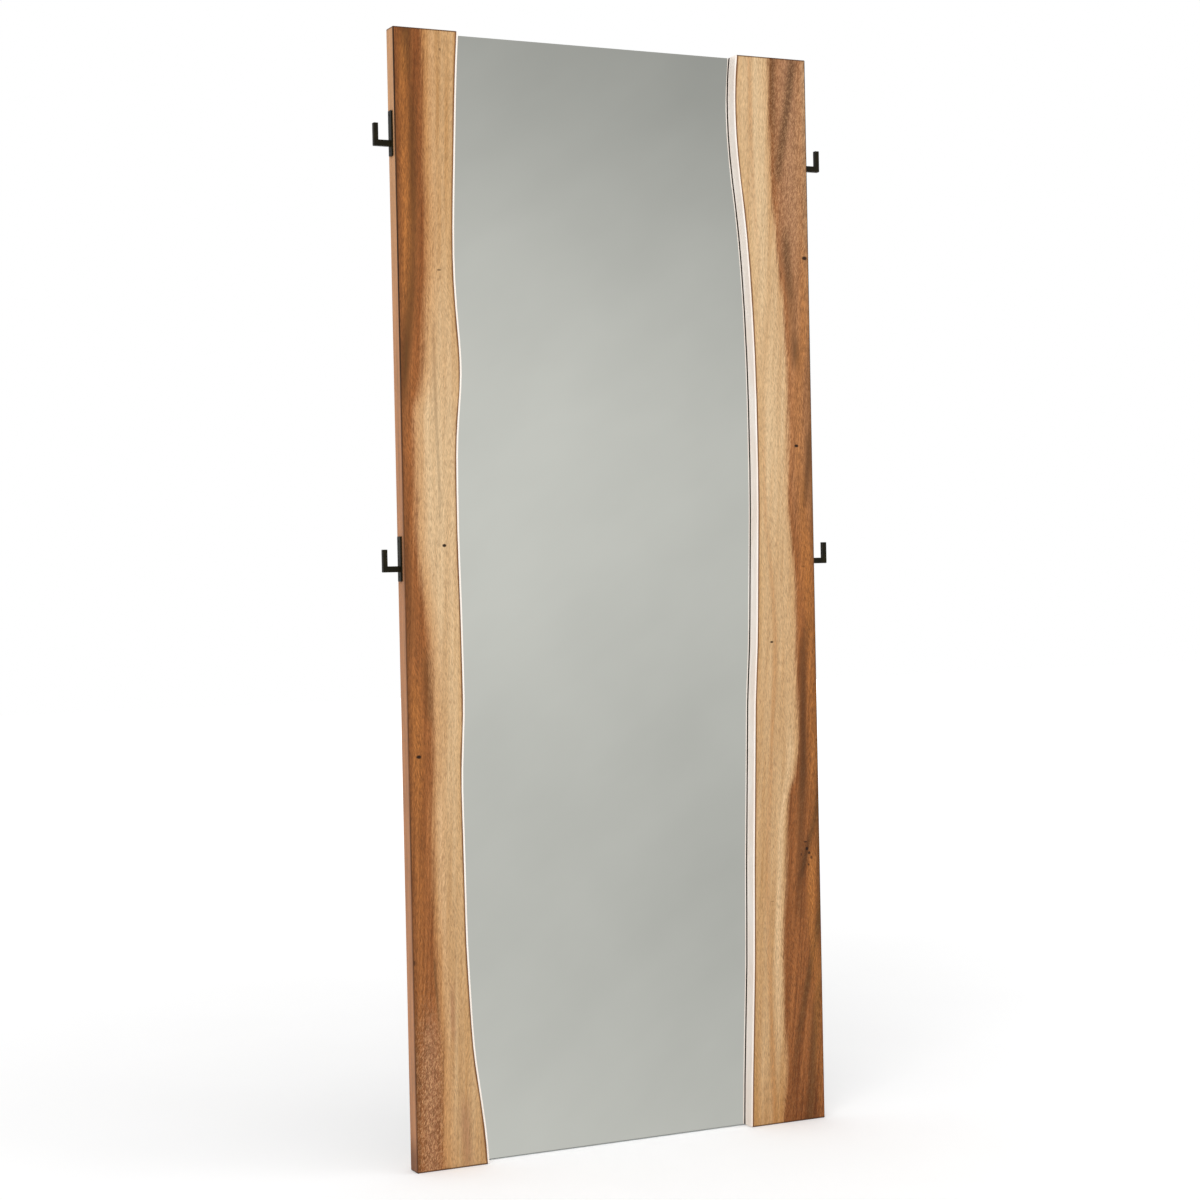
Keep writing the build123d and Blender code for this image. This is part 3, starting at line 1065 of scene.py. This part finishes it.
RIGHT_VEINS = (
    Streak(Grain.PALE, 9.0, (
        (760, 352, 0.0), (690, 350, 0.5), (560, 330, 0.6), (365, 319, 0.6), (200, 317, 0.4),
        (60, 312, 0.1),
    )),
    Streak(Grain.AMBER, 6.0, (
        (1980, 290, 0.3), (1700, 296, 0.2), (1500, 310, 0.0), (1200, 306, 0.2), (900, 322, 0.3),
        (700, 310, 0.3), (400, 296, 0.3), (100, 300, 0.4), (0, 300, 0.4),
    )),
)
RIGHT_KNOTS = (
    Knot(401, 1611, 4.2, 2.8, 0.95),
    Knot(376, 1261, 3.4, 2.2, 0.97),
    Knot(382, 508, 2.4, 2.6, 0.95),
    Knot(379, 521, 2.8, 1.2, 0.8),
    Knot(387, 500, 2.0, 2.2, 0.85),
    Knot(391, 491, 1.6, 2.6, 0.7),
    Knot(385, 478, 1.6, 1.8, 0.75),
    Knot(370, 498, 1.4, 2.2, 0.6),
    Knot(315, 897, 2.8, 1.5, 0.9),
    Knot(306, 415, 2.6, 1.2, 0.35),
    Knot(386, 1036, 2.4, 1.6, 0.45),
)


@dataclass
class GlassAndBands:
    """The silvered sheet, its tape, the metal bands and the dark seals along the live edges."""

    silver: float = -6.0
    back: float = -1.0
    seal: float = -8.0

    def dress(self) -> None:
        """Give the sheet, bands, seals and tape their finishes."""
        dress(["mirror_glass"], MirrorGlass(self.silver, self.back).material())
        dress(["left_edge_band", "right_edge_band"], BandMetal(self.seal).material())
        seal = Rubber("edge_seal", (44, 30, 20), 1200.0)
        dress(["left_edge_seal", "right_edge_seal"], seal.material())
        dress(["glass_tape"], Rubber("foam_tape", (226, 226, 220), 2200.0).material())
        log.info("glass, bands, seals and tape")


@dataclass
class BackFrame:
    """The panel, its battens and foot rail, and the bumpers."""

    panel_back: float = 10.0

    def dress(self) -> None:
        """Give the pieces behind the planks their finishes."""
        dress(["back_panel"], PanelBoard(self.panel_back).material())
        dress(["top_batten", "middle_batten", "foot_rail"], Softwood().material())
        dress(["wall_bumpers"], Rubber("bumper_rubber", (44, 44, 44), 900.0).material())
        log.info("panel, battens, rail and bumpers")


@dataclass
class Hooks:
    """The four fixed side hooks."""

    def dress(self, metal: Material) -> None:
        """Give the hooks their powder coat.

        Args:
            metal: the coat.
        """
        for side in ("left", "right"):
            dress([f"{side}_upper_hook", f"{side}_lower_hook"], metal)
        log.info("hooks")


@dataclass
class Screw:
    """A screw with a cross recess in its head."""

    shank: float
    head: float
    length: float
    crown: float = 0.0
    cross_half: float = 2.3
    slot_half: float = 0.55
    sink: float = 1.5
    crown_round: float = 0.8
    inner_ring: float = 0.82
    taper: float = 0.72

    def form(self, into: BMesh, place: Matrix) -> None:
        """Add one screw: head at the place's origin, facing its Z axis.

        Args:
            into: the mesh that takes it.
            place: where the head's seat is and which way the head faces, in metres.
        """
        before = set(into.verts)
        radius = self.head / 2
        top = radius - (self.crown_round if self.crown else 0.0)
        right_rows = (self.slot_half, self.cross_half, top * self.inner_ring, top)
        rows = tuple(-row for row in reversed(right_rows)) + right_rows
        count = len(rows) - 1
        bmesh.ops.create_grid(into, x_segments=count, y_segments=count, size=count / 2)
        fresh = [v for v in into.verts if v not in before]
        for vert in fresh:
            column, row = round(vert.co.x + count / 2), round(vert.co.y + count / 2)
            vert.co.x, vert.co.y = rows[column], rows[row]
            ring = max(abs(vert.co.x), abs(vert.co.y))
            if ring > self.cross_half + 0.01:
                vert.co = vert.co.normalized() * ring
        faces = {f for v in fresh for f in v.link_faces}
        cross = [
            f for f in faces
            if max(map(abs, f.calc_center_median()[:2])) < self.cross_half
            and min(map(abs, f.calc_center_median()[:2])) < self.slot_half
        ]
        sunk = bmesh.ops.extrude_face_region(into, geom=cross)["geom"]
        bmesh.ops.delete(into, geom=cross, context="FACES_ONLY")
        floor = [g for g in sunk if isinstance(g, BMVert)]
        bmesh.ops.translate(into, verts=floor, vec=(0, 0, -self.sink))
        bmesh.ops.scale(into, verts=floor, vec=(self.taper, self.taper, 1))
        rim = [e for e in into.edges if e.is_boundary and not (set(e.verts) & before)]
        for radius_to, level in self._steps(radius, top):
            sides = bmesh.ops.extrude_edge_only(into, edges=rim)["geom"]
            ring_verts = [g for g in sides if isinstance(g, BMVert)]
            rim = [g for g in sides if isinstance(g, BMEdge) and g.is_boundary]
            for vert in ring_verts:
                flat = Vector((vert.co.x, vert.co.y, 0)).normalized() * radius_to
                vert.co = Vector((flat.x, flat.y, level))
        bmesh.ops.contextual_create(into, geom=rim)
        made = [v for v in into.verts if v not in before]
        bmesh.ops.translate(into, verts=made, vec=(0, 0, self.crown))
        bmesh.ops.scale(into, verts=made, vec=(MM, MM, MM))
        bmesh.ops.transform(into, matrix=place, verts=made)

    def _steps(self, radius: float, top: float) -> list[tuple[float, float]]:
        """Work out the rings below the head's top, which is level 0.

        Args:
            radius: the head's radius.
            top: radius of the flat of its top.

        Returns:
            Radius and level of each ring.
        """
        half = self.shank / 2
        if self.crown:
            tip = -self.crown - self.length
            return [(radius, top - radius), (radius, -self.crown), (half, -self.crown), (half, tip)]
        return [(half, half - radius), (half, -self.length)]


@dataclass
class Screws:
    """All the screws, in groups as the CAD has them."""

    fixing_x: float = 353.0
    side_x: float = 413.5
    plank_middle: float = -15.0
    batten_back: float = 28.0
    panel_back: float = 10.0
    strap_back: float = 11.5
    batten_levels: tuple[float, ...] = (1908.0, 990.0, 30.0)
    panel_levels: tuple[float, ...] = (350.0, 670.0, 1296.0, 1602.0)
    hanger_levels: tuple[float, ...] = (1759.5, 1776.5)
    hook_levels: tuple[float, ...] = (1798.0, 1064.0)
    hook_spread: float = 30.5
    row_turn: float = 37.0
    side_turn: float = 20.0
    end_turn: float = 25.0

    def build(self, zinc: Material, dark: Material) -> None:
        """Build every group.

        Args:
            zinc: finish of the screws behind.
            dark: finish of the hook screws.
        """
        groups = (
            ("panel_screws", Screw(4.0, 8.0, 30.0, 2.2), self._back(self.panel_levels, self.panel_back)),
            ("hanger_screws", Screw(4.0, 8.0, 22.0, 2.2), self._back(self.hanger_levels, self.strap_back)),
            ("batten_screws", Screw(4.5, 9.0, 48.0), self._back(self.batten_levels, self.batten_back)),
            ("hook_screws", Screw(4.0, 8.0, 28.0, cross_half=1.9, slot_half=0.5), self._sides()),
        )
        for name, screw, places in groups:
            form = bmesh.new()
            for place in places:
                screw.form(form, place)
            slot, metal = ("dark_metal", dark) if name == "hook_screws" else ("zinc_steel", zinc)
            finish_piece(form, f"{name}_detailed", Body.FRAME, metal, [name])

    def _back(self, levels: Sequence[float], y: float) -> list[Matrix]:
        """Find the places on the back, where heads face away from the viewer, each turned a little.

        Args:
            levels: heights of the rows.
            y: depth of the heads' seats.

        Returns:
            The places, in metres.
        """
        return [
            Matrix.Translation((side * self.fixing_x * MM, y * MM, level * MM))
            @ Matrix.Rotation(math.radians(-90), 4, "X")
            @ Matrix.Rotation(math.radians(self.row_turn * count + self.side_turn * side), 4, "Z")
            for side in (-1, 1)
            for count, level in enumerate(levels)
        ]

    def _sides(self) -> list[Matrix]:
        """Find the places on the hook plates, where heads face out.

        Returns:
            The places, in metres.
        """
        x, y, spread = self.side_x * MM, self.plank_middle * MM, self.hook_spread
        return [
            Matrix.Translation((side * x, y, (level + end * spread) * MM))
            @ Matrix.Rotation(math.radians(90 * side), 4, "Y")
            @ Matrix.Rotation(math.radians(self.end_turn * end + level), 4, "Z")
            for side in (-1, 1)
            for level in self.hook_levels
            for end in (-1, 1)
        ]


@dataclass
class Hangers:
    """The two D-ring hangers on the back."""

    fixing_x: float = 353.0
    axis_y: float = 13.33
    axis_z: float = 1750.0
    wire: float = 3.5
    inner_width: float = 23.0
    inner_height: float = 16.0
    corner: float = 4.0
    round_steps: int = 20
    corner_steps: int = 6

    def build(self, zinc: Material) -> None:
        """Dress the straps and bend the two round wire rings.

        Args:
            zinc: finish of the straps and the rings.
        """
        dress(["left_hanger_strap", "right_hanger_strap"], zinc)
        for side, name, body in ((-1, "left", Body.LEFT_RING), (1, "right", Body.RIGHT_RING)):
            ring = self._ring(side * self.fixing_x)
            finish_piece(ring, f"{name}_wire_ring", body, zinc, [f"{name}_hanger_ring"])

    def _ring(self, x: float) -> BMesh:
        """Bend one ring.

        Args:
            x: middle of the ring.

        Returns:
            Its mesh, in metres.
        """
        bow = (self.inner_width + self.wire) / 2
        drop = self.inner_height + self.wire - bow
        half = bow - self.corner
        form = bmesh.new()
        start = Matrix.Translation((x - half, self.axis_y, self.axis_z))
        start = start @ Matrix.Rotation(math.radians(90), 4, "Y")
        bmesh.ops.create_circle(form, segments=self.round_steps, radius=self.wire / 2, matrix=start)
        edges = list(form.edges)
        low = self.axis_z - drop
        edges = self._draw(form, edges, (2 * half, 0, 0))
        edges = self._turn(form, edges, (x + half, self.axis_z - self.corner), 90, self.corner_steps)
        edges = self._draw(form, edges, (0, 0, low - self.axis_z + self.corner))
        edges = self._turn(form, edges, (x, low), 180, self.round_steps)
        edges = self._draw(form, edges, (0, 0, self.axis_z - self.corner - low))
        self._turn(form, edges, (x - half, self.axis_z - self.corner), 90, self.corner_steps)
        bmesh.ops.scale(form, verts=form.verts, vec=(MM, MM, MM))
        return form

    @staticmethod
    def _draw(form: BMesh, edges: Edges, run: tuple[float, float, float]) -> Edges:
        """Extrude the open end in a straight run.

        Args:
            form: the wire's mesh.
            edges: its open end.
            run: its length along each axis.

        Returns:
            The new end.
        """
        grown = bmesh.ops.extrude_edge_only(form, edges=edges)["geom"]
        tips = [g for g in grown if isinstance(g, BMVert)]
        bmesh.ops.translate(form, verts=tips, vec=run)
        return [g for g in grown if isinstance(g, BMEdge) and set(g.verts) <= set(tips)]

    def _turn(
        self, form: BMesh, edges: Edges, centre: tuple[float, float], angle: float, steps: int
    ) -> Edges:
        """Spin the open end round a bend.

        Args:
            form: the wire's mesh.
            edges: its open end.
            centre: x and z of the bend's centre.
            angle: the bend, in degrees.
            steps: its number of stretches.

        Returns:
            The new end.
        """
        spun = bmesh.ops.spin(
            form,
            geom=edges,
            cent=(centre[0], self.axis_y, centre[1]),
            axis=(0, 1, 0),
            angle=math.radians(angle),
            steps=steps,
            use_merge=False,
        )["geom_last"]
        return [g for g in spun if isinstance(g, BMEdge)]


@dataclass
class Studio:
    """Pale floor, soft light, the glowing card whose painted reflection the glass shows, and the
    photographer's camera.
    """

    reflection_tone: Points = ((0.0, 0.76), (0.22, 0.73), (0.6, 0.78), (1.0, 0.64))
    reflection_right_drop: float = 0.04
    reflection_cloud: float = 0.055
    lens: float = 71.63
    sensor: float = 36.0
    reach: float = 100.0
    position: tuple[float, float, float] = (-1.8952, -3.8839, 1.0502)
    yaw: float = 25.746
    pitch: float = -0.889
    roll: float = -1.173
    ambient: float = 0.78
    key_power: float = 105.0
    key_place: tuple[float, float, float] = (-3.4, -4.2, 3.6)
    fill_share: float = 0.3
    fill_place: tuple[float, float, float] = (4.0, -3.0, 2.4)
    lamp_size: float = 3.0
    floor_half: float = 14.0
    floor_drop: float = 0.0004
    floor_glow: float = 0.16
    glow_per_metre: float = 0.05
    card_gap: float = 1.0
    card_width: float = 0.35
    card_bounces: tuple[float, float] = (1.6, 1.4)
    card_inset: tuple[float, float] = (5.2, 6.0)
    card_edge: float = 0.0008
    card_tint: tuple[float, float, float, float] = (1.0, 1.015, 0.955, 1.0)
    screen_gamma: float = 2.2

    def build(self, planks: Planks, glass: GlassAndBands) -> None:
        """Build the camera, the world, the lamps, the floor and the card.

        Args:
            planks: sizes of the planks, whose live edges bound the card.
            glass: level of the silver.
        """
        self._camera()
        self._world()
        self._lamp("key_light", self.key_place, self.key_power)
        self._lamp("fill_light", self.fill_place, self.key_power * self.fill_share)
        self._floor()
        self._card(planks, glass)

    def _camera(self) -> None:
        """Place the camera at the photograph's viewpoint."""
        yaw, pitch, roll = (math.radians(a) for a in (self.yaw, self.pitch, self.roll))
        level = math.cos(pitch)
        ahead = Vector((math.sin(yaw) * level, math.cos(yaw) * level, math.sin(pitch)))
        right = Vector((math.cos(yaw), -math.sin(yaw), 0.0))
        above = right.cross(ahead)
        cos, sin = math.cos(roll), math.sin(roll)
        right, above = cos * right + sin * above, cos * above - sin * right
        data = bpy.data.cameras.new("camera")
        data.lens = self.lens
        data.sensor_width = self.sensor
        data.clip_end = self.reach
        camera = bpy.data.objects.new("camera", data)
        bpy.context.scene.collection.objects.link(camera)
        turn = Matrix((right, above, -ahead)).transposed().to_4x4()
        camera.matrix_world = Matrix.Translation(self.position) @ turn
        bpy.context.scene.camera = camera

    def _world(self) -> None:
        """White to the camera and in reflections, a plain level as light."""
        world = bpy.data.worlds.new("studio")
        world.use_nodes = True
        sky = Nodes(world.node_tree, "ShaderNodeOutputWorld")
        level = sky.seen() * (1.0 - self.ambient) + self.ambient
        sky.close(sky.node("ShaderNodeBackground", None, {0: WHITE, 1: level}))
        bpy.context.scene.world = world
        bpy.context.scene.view_settings.view_transform = "Standard"

    def _lamp(self, name: str, place: tuple[float, float, float], power: float) -> None:
        """Hang one soft square lamp that faces the middle of the mirror.

        Args:
            name: the lamp's name.
            place: where it hangs, in metres.
            power: its power in watts.
        """
        data = bpy.data.lights.new(name, "AREA")
        data.size = self.lamp_size
        data.energy = power
        lamp = bpy.data.objects.new(name, data)
        bpy.context.scene.collection.objects.link(lamp)
        aim = Vector((0.0, 0.0, 1.0)) - Vector(place)
        lamp.matrix_world = Matrix.Translation(place) @ aim.to_track_quat("-Z", "Y").to_matrix().to_4x4()
        lamp.visible_glossy = False

    def _flat(self, name: str, matrix: Matrix, half: float, material: Material) -> Object:
        """Make one flat square stage piece.

        Args:
            name: its name.
            matrix: its place, turn and stretch.
            half: half its side, in metres.
            material: its finish.

        Returns:
            The stage piece.
        """
        form = bmesh.new()
        bmesh.ops.create_grid(form, x_segments=1, y_segments=1, size=half, matrix=matrix)
        mesh = bpy.data.meshes.new(name)
        form.to_mesh(mesh)
        form.free()
        mesh.materials.append(material)
        piece = bpy.data.objects.new(name, mesh)
        bpy.context.scene.collection.objects.link(piece)
        return piece

    def _floor(self) -> None:
        """Pale floor that keeps the shadow and runs out into the white background."""
        bench = Bench("studio_floor")
        cloud = bench.noise((3, 3, 3), 2.0)
        tone = bench.plain(screen(238, 238, 238)).mix(screen(242, 242, 242), cloud)
        paper = bench.node("ShaderNodeBsdfDiffuse", None, {0: tone})
        far = bench.x.length(bench.y)
        level = bench.seen() * (far * self.glow_per_metre + self.floor_glow)
        glow = bench.node("ShaderNodeEmission", None, {0: WHITE, 1: level})
        bench.close(bench.node("ShaderNodeAddShader", None, {0: paper.outputs[0], 1: glow.outputs[0]}))
        place = Matrix.Translation((0, 0, -self.floor_drop))
        self._flat("studio_floor", place, self.floor_half, bench.material)

    def _between_bands(self, bench: Bench, up: Value, planks: Planks) -> Value:
        """Mark what lies between the two metal bands.

        Args:
            bench: the card's bench.
            up: height as a share of the planks' height.
            planks: sizes of the planks.

        Returns:
            1 between the bands and 0 outside them.
        """
        span = planks.half_width
        clear = []
        edges = (planks.left_widths, planks.right_widths)
        for side, widths, inset in zip((-1, 1), edges, self.card_inset):
            across = (span * MM - bench.x * float(side)) / (span * MM)
            band = up.curve(along(widths, span, inset))
            clear.append((across - band).step(0.0, self.card_edge))
        return clear[0] * clear[1]

    def _card(self, planks: Planks, glass: GlassAndBands) -> None:
        """Glowing grey card close to the glass, seen only in reflections: a painted reflection, the even
        grey, darker at the top and to the right, that the glass shows.

        Args:
            planks: sizes of the planks.
            glass: level of the silver.
        """
        bench = Bench("reflection_card")
        half = planks.height * MM / 2
        up = bench.z / (planks.height * MM)
        share = bench.x.step(-0.3, 0.3)
        cloud = bench.noise((3.4, 3.4, 6.0), 3.0, 0.5, turn=35.0)
        # Painted reflection: the grey that the glass shows, darker at the top and to the right, with soft
        # clouds
        tone = up.curve(self.reflection_tone) - share * self.reflection_right_drop
        level = (tone + (cloud - MIDDLE) * self.reflection_cloud).power(self.screen_gamma)
        card = bench.node("ShaderNodeEmission", None, {0: self.card_tint, 1: level})
        clear = bench.node("ShaderNodeBsdfTransparent")
        # Only the glass itself shows the card: a ray that met the band or wood first passes it
        depth = Value(bench, bench.node("ShaderNodeLightPath").outputs["Ray Depth"])
        inside = self._between_bands(bench, up, planks) * depth.step(*self.card_bounces)
        both = {0: inside, 1: clear.outputs[0], 2: card.outputs[0]}
        bench.close(bench.node("ShaderNodeMixShader", None, both))
        place = Matrix.Translation((0, (glass.silver - self.card_gap) * MM, half))
        place = place @ Matrix.Rotation(math.radians(90), 4, "X")
        place = place @ Matrix.Diagonal((self.card_width, 1.0, 1.0, 1.0))
        piece = self._flat("reflection_card", place, half, bench.material)
        for kind in ("camera", "diffuse", "transmission", "volume_scatter", "shadow"):
            setattr(piece, f"visible_{kind}", False)


def main() -> None:
    """Build every part of the mirror, then the studio."""
    logging.basicConfig(level=logging.INFO, format="%(message)s")
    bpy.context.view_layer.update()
    planks = Planks()
    glass = GlassAndBands()
    zinc = ZincSteel().material()
    dark = DarkMetal().material()
    planks.dress()
    glass.dress()
    BackFrame().dress()
    Hooks().dress(dark)
    Screws().build(zinc, dark)
    Hangers().build(zinc)
    Studio().build(planks, glass)


if __name__ == "__main__":
    main()
